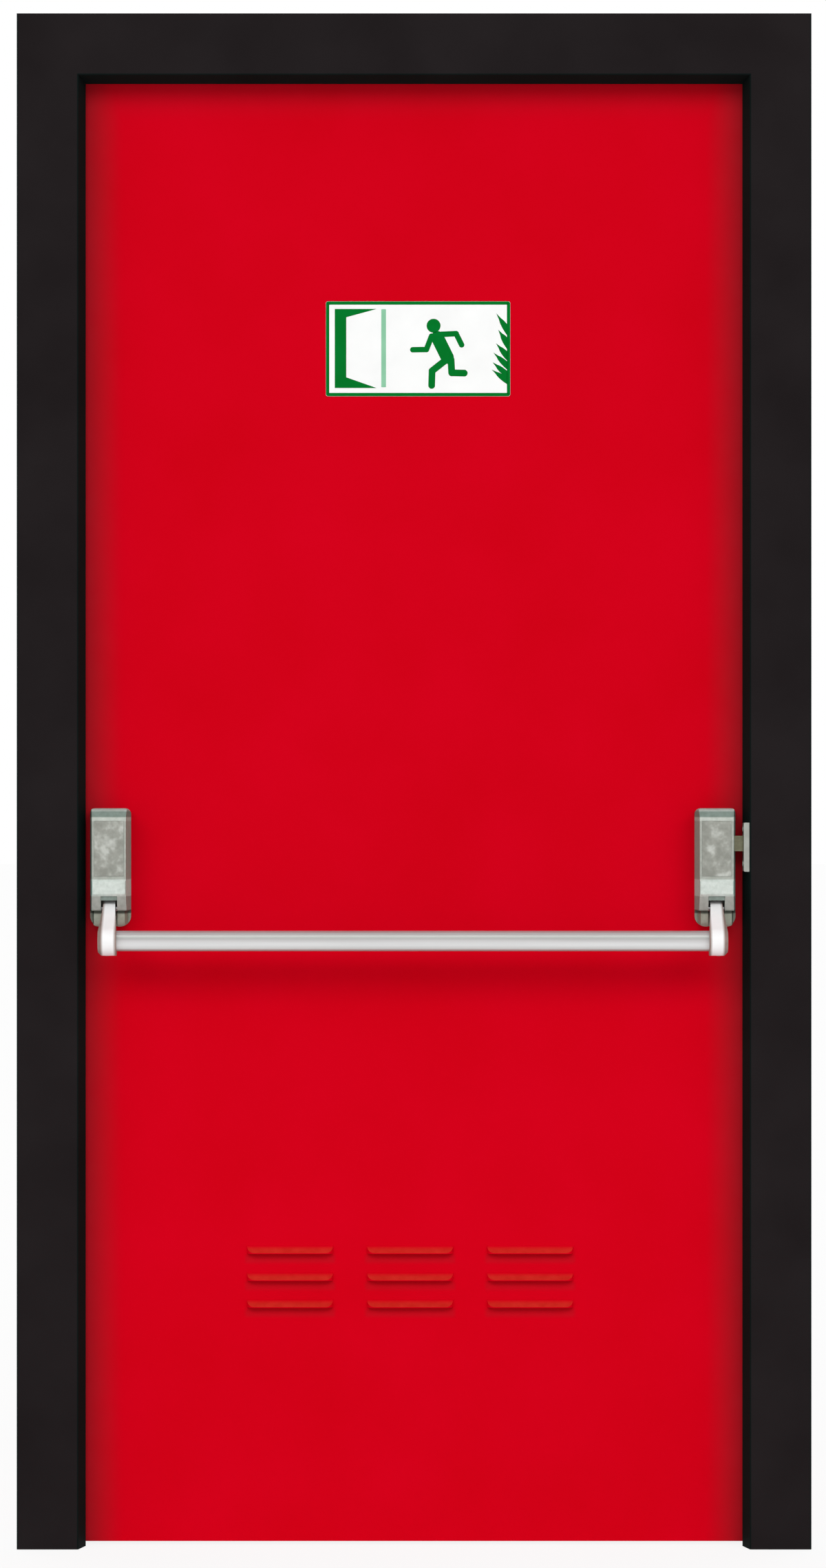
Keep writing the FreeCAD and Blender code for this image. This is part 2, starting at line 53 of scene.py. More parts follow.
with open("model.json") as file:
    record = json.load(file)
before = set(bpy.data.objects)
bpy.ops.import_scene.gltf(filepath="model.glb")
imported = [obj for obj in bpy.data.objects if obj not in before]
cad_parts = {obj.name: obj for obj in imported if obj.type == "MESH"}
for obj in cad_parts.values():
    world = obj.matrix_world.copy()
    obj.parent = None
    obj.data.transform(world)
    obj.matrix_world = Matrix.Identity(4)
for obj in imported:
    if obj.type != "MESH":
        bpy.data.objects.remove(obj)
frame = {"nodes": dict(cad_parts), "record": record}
nodes = frame["nodes"]
cad_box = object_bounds()
print("nodes", len(nodes), "box", [round(v, 3) for corner in cad_box for v in corner])

# %% [markdown]
# ## Camera
# The picture was taken straight on, so both jambs and the head show equal widths and nothing converges. A
# camera far away with a long lens does the same. The lens follows from how many pixels one metre of the
# frame's front face covers, so the door keeps its size in the picture when the distance is changed. The eye
# is moved a little left and down, which puts the door where it is in the picture.

# %% Camera
image_height = 2277
pixels_per_metre = 1063.5
camera_distance = 7.0
sensor = 36.0
eye_left = 1.5 * MM
eye_drop = 25.2 * MM
facing_viewer = (math.radians(90), 0, 0)

scene = bpy.context.scene
scene.view_settings.view_transform = "Standard"
door_middle = (cad_box[0].x + cad_box[1].x) / 2
frame_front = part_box("frame_head")[0].y
picture_height = image_height / pixels_per_metre
eye = Vector((door_middle - eye_left, frame_front - camera_distance, picture_height / 2 - eye_drop))

bpy.ops.object.select_all(action="DESELECT")
bpy.ops.object.camera_add(location=eye, rotation=facing_viewer)
camera = bpy.context.object
camera.data.sensor_width = sensor
camera.data.lens = sensor * camera_distance / picture_height
scene.camera = camera
print("lens", round(camera.data.lens, 1), "eye", [round(v, 3) for v in eye])

# %% [markdown]
# ## Light
# On the real door the light is soft, and darkens gently beside the jambs and under the head, because the
# leaf lies 45 mm behind the frame's face. An even dome gives that. A dome alone leaves no shadow under the
# bar, so part of the light comes from a level row of sun lamps, 30 degrees up. Each is a wide soft disc,
# and side by side they act as one long strip. A second row behind the door lights the pull side in the same
# way. Together with what the floor throws back they give a white wall a value of about 1, so colours render
# as they are written.

# %% Dome
dome_share = 0.42
white = (1, 1, 1, 1)


def seen_directly(tree):
    """1 for what the camera sees, straight, mirrored or through glass, and 0 for light on surfaces."""
    path = tree.nodes.new("ShaderNodeLightPath")
    total = path.outputs["Is Camera Ray"]
    for kind in ("Is Glossy Ray", "Is Transmission Ray"):
        add = tree.nodes.new("ShaderNodeMath")
        add.operation = "ADD"
        add.use_clamp = True
        tree.links.new(total, add.inputs[0])
        tree.links.new(path.outputs[kind], add.inputs[1])
        total = add.outputs["Value"]
    return total


def white_background(tree, strength):
    """An even white sky of a given strength."""
    background = tree.nodes.new("ShaderNodeBackground")
    background.inputs["Color"].default_value = white
    background.inputs["Strength"].default_value = strength
    return background.outputs["Background"]


studio = bpy.data.worlds.new("studio")
scene.world = studio
studio.use_nodes = True
tree = studio.node_tree
tree.nodes.clear()
choose = tree.nodes.new("ShaderNodeMixShader")
tree.links.new(seen_directly(tree), choose.inputs["Fac"])
tree.links.new(white_background(tree, dome_share), choose.inputs[1])
tree.links.new(white_background(tree, 1), choose.inputs[2])
sky = tree.nodes.new("ShaderNodeOutputWorld")
tree.links.new(choose.outputs["Shader"], sky.inputs["Surface"])
print("dome", dome_share)

# %% Rows of lamps
row_share = 0.40
lamp_rise = math.radians(30)
lamp_disc = math.radians(27)
lamp_turns = [math.radians(degrees) for degrees in range(-39, 40, 13)]
on_leaf = sum(math.cos(turn) for turn in lamp_turns) * math.cos(lamp_rise)
lamp_energy = row_share * math.pi / on_leaf


def lamp_row(name, ahead):
    """A level fan of sun lamps that shine along ahead (1 towards the pull side, -1 back) and down."""
    for turn in lamp_turns:
        level = Vector((math.sin(turn), ahead * math.cos(turn), 0)) * math.cos(lamp_rise)
        beam = level - Vector((0, 0, math.sin(lamp_rise)))
        bpy.ops.object.light_add(type="SUN", location=eye - beam * camera_distance)
        lamp = bpy.context.object
        lamp.name = f"{name} {math.degrees(turn):.0f}"
        lamp.rotation_euler = beam.to_track_quat("-Z", "Y").to_euler()
        lamp.data.angle = lamp_disc
        lamp.data.energy = lamp_energy
    print(name, len(lamp_turns), "lamps of", round(lamp_energy, 3))


lamp_row("front lamp", 1)
lamp_row("back lamp", -1)

# %% [markdown]
# ## Floor
# The door stands on a plain pale floor that runs to the horizon. A floor that only glows would be as white
# as the background, but would lose the shadow. So it glows to the camera, and a part of it stays an
# ordinary matt surface, with the door's soft shadow on it.

# %% Floor
floor_size = 120.0
floor_drop = 0.2 * MM
floor_own_light = 0.88
floor_tone = 0.9

bpy.ops.object.select_all(action="DESELECT")
bpy.ops.mesh.primitive_plane_add(size=floor_size, location=(door_middle, 0, -floor_drop))
floor = bpy.context.object
floor.name = "studio_floor"
pale = bpy.data.materials.new("pale floor")
pale.use_nodes = True
tree = pale.node_tree
tree.nodes.clear()
matt = tree.nodes.new("ShaderNodeBsdfDiffuse")
matt.inputs["Color"].default_value = (floor_tone, floor_tone, floor_tone, 1)
glow = tree.nodes.new("ShaderNodeEmission")
glow.inputs["Strength"].default_value = 1
pale_mix = tree.nodes.new("ShaderNodeMixShader")
amount = tree.nodes.new("ShaderNodeMath")
amount.operation = "MULTIPLY"
amount.inputs[1].default_value = floor_own_light
tree.links.new(seen_directly(tree), amount.inputs[0])
tree.links.new(amount.outputs["Value"], pale_mix.inputs["Fac"])
tree.links.new(matt.outputs["BSDF"], pale_mix.inputs[1])
tree.links.new(glow.outputs["Emission"], pale_mix.inputs[2])
ground = tree.nodes.new("ShaderNodeOutputMaterial")
tree.links.new(pale_mix.outputs["Shader"], ground.inputs["Surface"])
floor.data.materials.append(pale)
print("floor", floor_size, "m")

# %% [markdown]
# ## Tools for finishes
# No real surface has one flat colour: paint pools, castings are cloudy, drawn metal has streaks. Each
# finish here starts from a Principled shader with its constant values typed in, and gets its colour from a
# ramp that is driven by noise or by height on the piece. Noise and height could be read in several
# coordinates. Object coordinates are used, because they are real size and stay put when the leaf swings.

# %% A new finish

def tone(red, green, blue):
    """A colour as seen on a screen, 0 to 255, in the linear values that shaders use."""

    def linear(value):
        part = value / 255
        return part / 12.92 if part <= 0.04045 else ((part + 0.055) / 1.055) ** 2.4

    return (linear(red), linear(green), linear(blue), 1.0)


def new_finish(name, roughness, metal=0.0, specular=0.5):
    """A material whose constant values are set on its shader."""
    material = bpy.data.materials.new(name)
    material.use_nodes = True
    shader = shader_of(material)
    shader.inputs["Roughness"].default_value = roughness
    shader.inputs["Metallic"].default_value = metal
    shader.inputs["Specular IOR Level"].default_value = specular
    return material


def shader_of(material):
    return material.node_tree.nodes["Principled BSDF"]


def link(material, source, target):
    material.node_tree.links.new(source, target)


def coloured(material, colour):
    link(material, colour, shader_of(material).inputs["Base Color"])


print("finish tools ready")

# %% Noise, places and directions

def grain(material, size_mm, stretch=(1, 1, 1), detail=3.0):
    """Soft noise from 0 to 1, with clouds of a given size; stretch squeezes it along an axis."""
    add = material.node_tree.nodes.new
    place = add("ShaderNodeTexCoord")
    squeeze = add("ShaderNodeMapping")
    squeeze.inputs["Scale"].default_value = stretch
    noise = add("ShaderNodeTexNoise")
    noise.inputs["Scale"].default_value = 1 / (size_mm * MM)
    noise.inputs["Detail"].default_value = detail
    link(material, place.outputs["Object"], squeeze.inputs["Vector"])
    link(material, squeeze.outputs["Vector"], noise.inputs["Vector"])
    return noise.outputs["Fac"]


def relief(material, size_mm, depth_mm, stretch=(1, 1, 1)):
    """Small bumps in the surface, too fine to model."""
    bump = material.node_tree.nodes.new("ShaderNodeBump")
    bump.inputs["Distance"].default_value = depth_mm * MM
    link(material, grain(material, size_mm, stretch), bump.inputs["Height"])
    link(material, bump.outputs["Normal"], shader_of(material).inputs["Normal"])


def span_of(material, kind, axis, low, high, both_ways=False):
    """0 where one part of a vector is low and 1 where it is high; kind is Object (places) or Normal."""
    add = material.node_tree.nodes.new
    place = add("ShaderNodeTexCoord")
    split = add("ShaderNodeSeparateXYZ")
    span = add("ShaderNodeMapRange")
    span.inputs["From Min"].default_value = low
    span.inputs["From Max"].default_value = high
    link(material, place.outputs[kind], split.inputs["Vector"])
    value = split.outputs[axis]
    if both_ways:
        size = add("ShaderNodeMath")
        size.operation = "ABSOLUTE"
        link(material, value, size.inputs[0])
        value = size.outputs["Value"]
    link(material, value, span.inputs["Value"])
    return span.outputs["Result"]


def along(material, axis, low, high):
    """0 at one place along an axis and 1 at another, in metres."""
    return span_of(material, "Object", axis, low, high)


def facing_sideways(material, low, high):
    """0 on faces that look at the viewer and 1 on those that look left or right."""
    return span_of(material, "Normal", "X", low, high, both_ways=True)


def facing_upwards(material, low, high):
    """0 on upright faces and 1 on those that look up, or down where both values are negative."""
    return span_of(material, "Normal", "Z", low, high)


print("noise and span tools ready")

# %% Ramps and mixes
darkest_noise, lightest_noise = 0.3, 0.7


def ramp(material, driver, stops):
    """A colour ramp; stops are pairs of a place from 0 to 1 and a colour."""
    node = material.node_tree.nodes.new("ShaderNodeValToRGB")
    elements = node.color_ramp.elements
    elements[0].position, elements[0].color = stops[0]
    elements[1].position, elements[1].color = stops[-1]
    for place, colour in stops[1:-1]:
        elements.new(place).color = colour
    link(material, driver, node.inputs["Fac"])
    return node.outputs["Color"]


def shades(material, size_mm, dark, light, stretch=(1, 1, 1)):
    """A colour that wanders between two tones in clouds of a given size."""
    stops = [(darkest_noise, dark), (lightest_noise, light)]
    return ramp(material, grain(material, size_mm, stretch), stops)


def mix(material, driver, first, second, way="MIX"):
    """Two colours mixed by a driver, or wholly in a given way where there is none."""
    node = material.node_tree.nodes.new("ShaderNodeMix")
    node.data_type = "RGBA"
    node.blend_type = way
    if driver is None:
        node.inputs["Factor"].default_value = 1
    else:
        link(material, driver, node.inputs["Factor"])
    link(material, first, node.inputs["A"])
    link(material, second, node.inputs["B"])
    return node.outputs["Result"]


def product(material, first, second):
    """One colour multiplied by another."""
    return mix(material, None, first, second, "MULTIPLY")


print("ramp and mix tools ready")

# %% [markdown]
# ## Paint
# The leaf is powder coated in signal red and the frame in black. Both coats are matt, with the faint orange
# peel that powder leaves. Reflections are kept weak, since this room is white all round and strong ones
# would only wash the colours out. Light and shade are painted into the red: painted shade along the jambs
# and the head, a painted shadow under each louvre, and a painted highlight on the slopes of the louvres. The
# lower part of the leaf is painted a little brighter, to make up for the less light it gets. The marks could
# be painted on a texture. Here each is a tone mixed in by place or by which way the surface looks, so it
# needs no unwrapping and fits the leaf at any size. The reveals of the frame are painted shade, a darker,
# cooler black than its front, which also evens out the red light from the leaf.

# %% Where the louvres are
louvre_proud = 1 * MM
column_gap = 20 * MM
row_gap = 15 * MM
skin = [point.co for point in nodes["push_side_skin"].data.vertices]
hood_points = [place for place in skin if place.y < -louvre_proud]


def groups(values, gap):
    """The ends of each group of values that has a wider gap on both sides."""
    values = sorted(values)
    found = [[values[0], values[0]]]
    for value in values:
        if value - found[-1][1] > gap:
            found.append([value, value])
        found[-1][1] = value
    return found


# A louvre has points only near its two ends, so two groups across make one louvre.
hood_ends = groups([place.x for place in hood_points], column_gap)
hood_columns = [(left[0], right[1]) for left, right in zip(hood_ends[::2], hood_ends[1::2])]
hood_rows = groups([place.z for place in hood_points], row_gap)
print("louvres", len(hood_columns), "across,", len(hood_rows), "up")

# %% Red of the leaf
upper_red_ends, lower_red_starts = 1.0, 0.3

leaf_paint = new_finish("red powder coat", roughness=0.5, specular=0.01)
upper_red = shades(leaf_paint, 160, tone(208, 0, 22), tone(213, 0, 27))
# Painted light: the lower part of the leaf is painted a brighter red, to make up for the less light it gets.
brightened_lower_red = shades(leaf_paint, 160, tone(213, 0, 23), tone(218, 0, 28))
red = mix(leaf_paint, along(leaf_paint, "Z", upper_red_ends, lower_red_starts), upper_red, brightened_lower_red)
relief(leaf_paint, size_mm=2.5, depth_mm=0.02)
print("red changes between", lower_red_starts, "and", upper_red_ends, "m")

# %% Painted shade along the jambs and the head
edge_shade_reach = 50 * MM
edge_shade_most = 0.36
head_shade_most = 0.12
opening_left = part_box("hinge_jamb")[1].x
opening_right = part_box("strike_jamb")[0].x
opening_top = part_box("frame_head")[0].z


def grey(value):
    """A neutral colour, from 0 for none of a mark to 1 for all of it."""
    return (value, value, value, 1)


# Painted shade: the red is darkened towards the jambs and under the head, where the frame shades the leaf.
edge_shade_share = edge_shade_reach / (opening_right - opening_left)
edge_shade_stops = [(0, grey(edge_shade_most)), (edge_shade_share, grey(0)), (1 - edge_shade_share, grey(0)), (1, grey(edge_shade_most))]
jamb_shade = ramp(leaf_paint, along(leaf_paint, "X", opening_left, opening_right), edge_shade_stops)
under_head = along(leaf_paint, "Z", opening_top - edge_shade_reach, opening_top)
head_shade = ramp(leaf_paint, under_head, [(0, grey(0)), (1, grey(head_shade_most))])
edge_shade = mix(leaf_paint, None, jamb_shade, head_shade, "LIGHTEN")
shade_tone = shades(leaf_paint, 30, tone(80, 42, 46), tone(88, 48, 52))
shaded_red = mix(leaf_paint, edge_shade, red, shade_tone)
print("dirt reaches", round(edge_shade_share, 3), "of the width in from each jamb")

# %% Painted shadow and highlight on the louvres
shadow_start = 5 * MM
shadow_reach = 11 * MM
shadow_fade = 5 * MM
shadow_most = 0.14
highlight_reach = 5 * MM
highlight_fade = 5 * MM


def patches(material, axis, spans, most, fade):
    """Grey of a given value inside some spans of an axis and black outside, with soft ends."""
    low, high = spans[0][0] - 2 * fade, spans[-1][1] + 2 * fade
    stops = []
    for start, end in spans:
        marks = ((start - fade, 0), (start, most), (end, most), (end + fade, 0))
        stops += [((place - low) / (high - low), grey(value)) for place, value in marks]
    return ramp(material, along(material, axis, low, high), stops)


# Painted shadow: a darker band of red under each row of louvres, where the hoods shade the sheet.
shadow_rows = [(low - shadow_reach, low - shadow_start) for low, high in hood_rows]
louvre_shadow = product(
    leaf_paint,
    patches(leaf_paint, "Z", shadow_rows, shadow_most, shadow_fade),
    patches(leaf_paint, "X", hood_columns, 1, shadow_fade),
)
# Painted highlight: a lighter red on the upward slopes of the hoods.
highlight_rows = [(low, low + highlight_reach) for low, high in hood_rows]
slopes = ramp(leaf_paint, facing_upwards(leaf_paint, 0.3, 0.6), [(0, grey(0)), (1, grey(1))])
louvre_highlight = product(leaf_paint, patches(leaf_paint, "Z", highlight_rows, 1, highlight_fade), slopes)
highlight_red = shades(leaf_paint, 12, tone(203, 37, 29), tone(213, 46, 37))
shadowed_red = mix(leaf_paint, louvre_shadow, shaded_red, shade_tone)
coloured(leaf_paint, mix(leaf_paint, louvre_highlight, shadowed_red, highlight_red))
print("soot and dust on", len(hood_rows), "rows")

# %% Frame paint
frame_paint = new_finish("black powder coat", roughness=0.6, specular=0.01)
front_black = shades(frame_paint, 120, tone(31, 27, 28), tone(36, 32, 33))
# Painted shade: reveals looking sideways or down get a darker, cooler black, which also evens out the red
# light from the leaf.
shaded_reveal_black = shades(frame_paint, 120, tone(16, 24, 23), tone(20, 28, 27))
jamb_reveals = mix(frame_paint, facing_sideways(frame_paint, 0.1, 0.2), front_black, shaded_reveal_black)
head_reveal = facing_upwards(frame_paint, -0.1, -0.2)
coloured(frame_paint, mix(frame_paint, head_reveal, jamb_reveals, shaded_reveal_black))
relief(frame_paint, size_mm=2.5, depth_mm=0.02)
print("frame paint ready")

# %% [markdown]
# ## Metals and rubber
# The housings are die cast and painted silver. Light and shade are painted on them by height: painted shade
# on the top and on the skirt, a painted highlight on the ridge, along the edge over the panel and on the
# top rim, and a painted shadow where the cover ends over the cheeks. Each zone could be a material of its
# own, on faces picked by hand. One ramp along the height does the same, and still fits when the cover is
# changed. The sides are painted shade, a darker, cooler grey, which also evens out the red light that the
# leaf throws on them. The bar is drawn aluminium, with fine streaks along its length, and light and shade
# painted up its height in place of its reflections. A lever is white in front, with painted shade where it
# flares on its outer side and along its edge by the bar. Hinges and straps are zinc coated, and the latch is
# yellow passivated.

# %% Zones of the housings
skirt_height, ridge_height = 20 * MM, 23 * MM
top_height, rim_height = 12 * MM, 4 * MM
joint_shadow_below, joint_shadow_above = 4 * MM, 1 * MM
zone_blur = 0.6 * MM

chassis_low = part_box("latch_side_chassis")[0].z
cover_low, cover_high = (corner.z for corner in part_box("latch_side_cover"))
panel_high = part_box("latch_side_face_panel")[1].z
ridge_low = cover_low + skirt_height
# Painted light and shade on the cover: shaded skirt and top, highlit ridge, line and top rim, and a painted
# shadow over the joint. The cheeks and the part beside the panel keep their own grey.
housing_zones = [
    ("cheeks", cover_low - joint_shadow_below, tone(170, 174, 160)),
    ("painted joint shadow", cover_low + joint_shadow_above, tone(104, 110, 100)),
    ("shaded skirt", ridge_low, tone(172, 173, 167)),
    ("highlit ridge", ridge_low + ridge_height, tone(219, 227, 221)),
    ("beside the panel", panel_high, tone(176, 180, 172)),
    ("highlight line", cover_high - top_height, tone(200, 206, 198)),
    ("shaded top", cover_high - rim_height, tone(134, 150, 142)),
    ("highlit top rim", cover_high, tone(178, 186, 180)),
]


def zone_stops(zones, low, high):
    """Stops of a ramp from zones, each given with its name, the height where it ends and its colour."""
    stops = [(0.0, zones[0][2])]
    for (_, end, colour), (_, _, following) in zip(zones, zones[1:]):
        stops.append(((end - zone_blur - low) / (high - low), colour))
        stops.append(((end + zone_blur - low) / (high - low), following))
    return stops + [(1.0, zones[-1][2])]


print("zones:", ", ".join(name for name, _, _ in housing_zones))

# %% Housings and panels
casting = new_finish("silver casting", roughness=0.5, specular=0.08)
over_height = along(casting, "Z", chassis_low, cover_high)
cast_zones = ramp(casting, over_height, zone_stops(housing_zones, chassis_low, cover_high))
cloud = shades(casting, 6, tone(232, 234, 232), tone(255, 255, 255))
# Painted shade: faces that look sideways get a darker, cooler grey, which also evens out the red light from
# the leaf.
shaded_side_grey = shades(casting, 6, tone(190, 220, 214), tone(206, 234, 228))
shading = mix(casting, facing_sideways(casting, 0.5, 0.9), cloud, shaded_side_grey)
coloured(casting, product(casting, cast_zones, shading))
relief(casting, size_mm=1.5, depth_mm=0.05)

hammered = new_finish("hammered silver", roughness=0.45, metal=0.2, specular=0.2)
blotches = [(0.36, tone(140, 142, 134)), (0.54, tone(156, 158, 150)), (0.72, tone(190, 193, 186))]
coloured(hammered, ramp(hammered, grain(hammered, 13, detail=2), blotches))
relief(hammered, size_mm=1.2, depth_mm=0.05)
print("housing and panel finishes ready")

# %% Bar
bar_low, bar_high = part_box("push_bar")
drawn = new_finish("drawn aluminium", roughness=0.35, metal=0.4, specular=0.4)
# Painted light and shade: a bright band low on the bar, a dark band near the top and a reddish top edge, in
# place of the tube's reflections.
bar_light_and_shade = [
    (0.0, tone(168, 172, 170)),
    (0.12, tone(212, 216, 215)),
    (0.3, tone(228, 229, 229)),
    (0.5, tone(206, 205, 205)),
    (0.72, tone(159, 162, 158)),
    (1.0, tone(196, 184, 187)),
]
sheen = ramp(drawn, along(drawn, "Z", bar_low.z, bar_high.z), bar_light_and_shade)
streaks = shades(drawn, 4, tone(246, 246, 246), tone(255, 255, 255), stretch=(0.02, 1, 1))
coloured(drawn, product(drawn, sheen, streaks))
relief(drawn, size_mm=0.8, depth_mm=0.01, stretch=(0.01, 1, 1))
print("bar tones", len(bar_light_and_shade))

# %% Levers
neck_height = 5 * MM
outer_edge = 0.4 * MM
bar_side_edge = 1.5 * MM

lever_white = new_finish("bright lever", roughness=0.35, specular=0.1)
enamel = shades(lever_white, 15, tone(250, 251, 251), tone(255, 255, 255))
# Painted shade: the flared outer side and the edge by the bar get a darker, reddish grey than the white
# front.
lever_side_shade = shades(lever_white, 8, tone(146, 126, 118), tone(162, 142, 134))


def neck_span(side):
    """The ends of a lever's neck along X, where it is not flared."""
    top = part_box(f"{side}_lever")[1].z - neck_height
    across = [point.co.x for point in nodes[f"{side}_lever"].data.vertices if point.co.z > top]
    return min(across), max(across)


white_spans = [
    (neck_span("hinge_side")[0] + outer_edge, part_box("hinge_side_lever")[1].x - bar_side_edge),
    (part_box("latch_side_lever")[0].x + bar_side_edge, neck_span("latch_side")[1] - outer_edge),
]
white_front = patches(lever_white, "X", white_spans, 1, outer_edge / 2)
coloured(lever_white, mix(lever_white, white_front, lever_side_shade, enamel))
relief(lever_white, size_mm=2, depth_mm=0.02)
print("white on the levers, mm", [[round(x / MM, 1) for x in span] for span in white_spans])

# %% Coated steel, latch and rubber
galvanised = new_finish("galvanised steel", roughness=0.5, metal=0.7)
coloured(galvanised, shades(galvanised, 9, tone(150, 156, 160), tone(196, 201, 204)))
zinc = new_finish("zinc plated steel", roughness=0.45, metal=0.3, specular=0.2)
coloured(zinc, shades(zinc, 14, tone(154, 157, 150), tone(172, 175, 168)))
relief(zinc, size_mm=1.5, depth_mm=0.02)
pin_steel = new_finish("pin steel", roughness=0.3, metal=0.8)
coloured(pin_steel, shades(pin_steel, 3, tone(150, 150, 152), tone(186, 186, 188), stretch=(0.1, 1, 1)))
passivated = new_finish("yellow passivated latch", roughness=0.4, metal=0.5)
coloured(passivated, shades(passivated, 8, tone(98, 96, 74), tone(120, 118, 94)))
rubber = new_finish("seal rubber", roughness=0.7, specular=0.2)
coloured(rubber, shades(rubber, 5, tone(20, 20, 21), tone(30, 30, 31)))
relief(rubber, size_mm=0.8, depth_mm=0.03)
print("coated finishes ready")

# %% [markdown]
# ## Finishes on the solids
# The record of the part says which solids share a finish, as slots. Giving each slot its material here
# dresses all of them at once, and a solid that is renamed or added later still finds its finish. The sign
# plate is matt white plastic under its print.

# %% Finishes by slot
sign_white = new_finish("white sign plastic", roughness=0.4, specular=0.1)
coloured(sign_white, shades(sign_white, 40, tone(249, 250, 249), tone(254, 255, 254)))

finishes = {
    "frame_paint": frame_paint,
    "seal_rubber": rubber,
    "galvanised_steel": galvanised,
    "zinc_plated_steel": zinc,
    "leaf_paint": leaf_paint,
    "sign_plastic": sign_white,
    "silver_casting": casting,
    "grained_panel": hammered,
    "pin_steel": pin_steel,
    "bright_lever": lever_white,
    "bar_aluminium": drawn,
    "latch_steel": passivated,
}
slot_of = {part["node"]: part["material_slot"] for part in frame["record"]["subparts"]}
for name, node in nodes.items():
    node.data.materials.clear()
    node.data.materials.append(finishes[slot_of[name]])
print("dressed", len(nodes), "solids in", len(set(slot_of.values())), "finishes")

# %% [markdown]
# ## Tools for modelling
# The small pieces are made as by hand: start from a primitive at its size and place, go into edit mode,
# pick faces or points, and use one operator after another. Picking is done in code, by where a face lies or
# which way it looks. Before anything is added, all is deselected, so that no operator touches the solids.
# Pieces are joined and cut by Boolean modifiers. Of their solvers, Manifold is used, because it keeps
# closed shapes closed, also where faces of two pieces lie in one plane.

# %% Selecting

def use_only(*pieces):
    """Object mode, with just these pieces selected and the first one active."""
    if bpy.context.object and bpy.context.object.mode != "OBJECT":
        bpy.ops.object.mode_set(mode="OBJECT")
    bpy.ops.object.select_all(action="DESELECT")
    for piece in pieces:
        piece.select_set(True)
    if pieces:
        bpy.context.view_layer.objects.active = pieces[0]


def pick(piece, kind, members, wanted):
    """Edit mode, with those points, edges or faces selected that are wanted."""
    use_only(piece)
    bpy.ops.object.mode_set(mode="EDIT")
    bpy.ops.mesh.select_mode(type=kind)
    bpy.ops.mesh.select_all(action="DESELECT")
    mesh = bmesh.from_edit_mesh(piece.data)
    for member in members(mesh):
        if wanted(member):
            member.select_set(True)
    bmesh.update_edit_mesh(piece.data)


def pick_points(piece, wanted):
    """Selects the points for which wanted(place) is true."""
    pick(piece, "VERT", lambda mesh: mesh.verts, lambda point: wanted(point.co))


def pick_edges(piece, wanted):
    """Selects the edges for which wanted(one end, other end, number of faces beside it) is true."""

    def wanted_edge(edge):
        one, other = edge.verts
        return wanted(one.co, other.co, len(edge.link_faces))

    pick(piece, "EDGE", lambda mesh: mesh.edges, wanted_edge)


def pick_faces(piece, wanted):
    """Selects the faces for which wanted(middle, normal) is true."""
    pick(piece, "FACE", lambda mesh: mesh.faces, lambda face: wanted(face.calc_center_median(), face.normal))


def everything(*anything):
    return True


print("selecting tools ready")

# %% Starting and finishing pieces
same_point = 0.005 * MM
smooth_angle = math.radians(35)


def started(name):
    """Names the primitive that was just added, and moves its place into its mesh."""
    piece = bpy.context.object
    piece.name = name
    piece.data.name = name
    bpy.ops.object.transform_apply(location=True, rotation=True, scale=True)
    return piece


def apply_modifier(piece, kind, **settings):
    """Adds a modifier, sets it and applies it at once."""
    use_only(piece)
    modifier = piece.modifiers.new(kind.lower(), kind)
    for name, value in settings.items():
        setattr(modifier, name, value)
    bpy.ops.object.modifier_apply(modifier=modifier.name)


def combine(piece, others, way):
    """Adds other pieces to a piece, or cuts them out of it, and removes them."""
    for other in others:
        apply_modifier(piece, "BOOLEAN", operation=way, object=other, solver="MANIFOLD")
        bpy.data.objects.remove(other)


def belongs(piece, body, material):
    """A finished piece: smooth where it is round, with its material, on its body."""
    use_only(piece)
    bpy.ops.object.shade_smooth_by_angle(angle=smooth_angle)
    piece.data.materials.clear()
    piece.data.materials.append(material)
    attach(piece, body)
    return piece


def tidy_normals(piece):
    """Merges doubled points and turns all faces outwards."""
    pick_points(piece, everything)
    bpy.ops.mesh.remove_doubles(threshold=same_point)
    bpy.ops.mesh.normals_make_consistent(inside=False)
    use_only(piece)


print("modelling tools ready")

# %% [markdown]
# ## Sign border
# The sign is printed on a white plate, with a narrow green line round it. The print could be a painted
# texture, but a raised film 0.3 mm thick catches the edge light and stays sharp at any size. The border
# starts as a plane, gets rounded corners, and an inset makes the ring. Places on the sign are in
# millimetres from its lower left corner.

# %% Inks and the sign's face
sign_low, sign_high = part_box("exit_sign_plate")
sign_width = (sign_high.x - sign_low.x) / MM
sign_height = (sign_high.z - sign_low.z) / MM
print_thickness = 0.3 * MM

sign_green = new_finish("sign green", roughness=0.4, specular=0.03)
coloured(sign_green, shades(sign_green, 30, tone(0, 112, 36), tone(0, 119, 43)))
pale_green = new_finish("pale sign green", roughness=0.4, specular=0.1)
coloured(pale_green, shades(pale_green, 30, tone(136, 197, 161), tone(146, 205, 170)))


def on_sign(across, up):
    """A point on the sign's face, in millimetres from its lower left corner."""
    return Vector((sign_low.x + across * MM, sign_low.y, sign_low.z + up * MM))


def sign_rectangle(name, left, low, right, high):
    """A flat rectangle on the sign, to be shaped further."""
    use_only()
    middle = on_sign((left + right) / 2, (low + high) / 2)
    bpy.ops.mesh.primitive_plane_add(size=MM, location=middle, rotation=facing_viewer)
    bpy.context.object.scale = (right - left, high - low, 1)
    return started(name)


def thick_film(piece):
    """Gives a flat outline the thickness of the print, towards the viewer."""
    apply_modifier(piece, "SOLIDIFY", thickness=print_thickness, offset=1)


def printed(piece, ink):
    """Finishes a piece of the print."""
    tidy_normals(piece)
    return belongs(piece, "leaf", ink)


print("sign, mm", round(sign_width, 1), "by", round(sign_height, 1))

# %% Sign border
border_width = 4.4
border_margin = 0.2
border_corner = 3 * MM

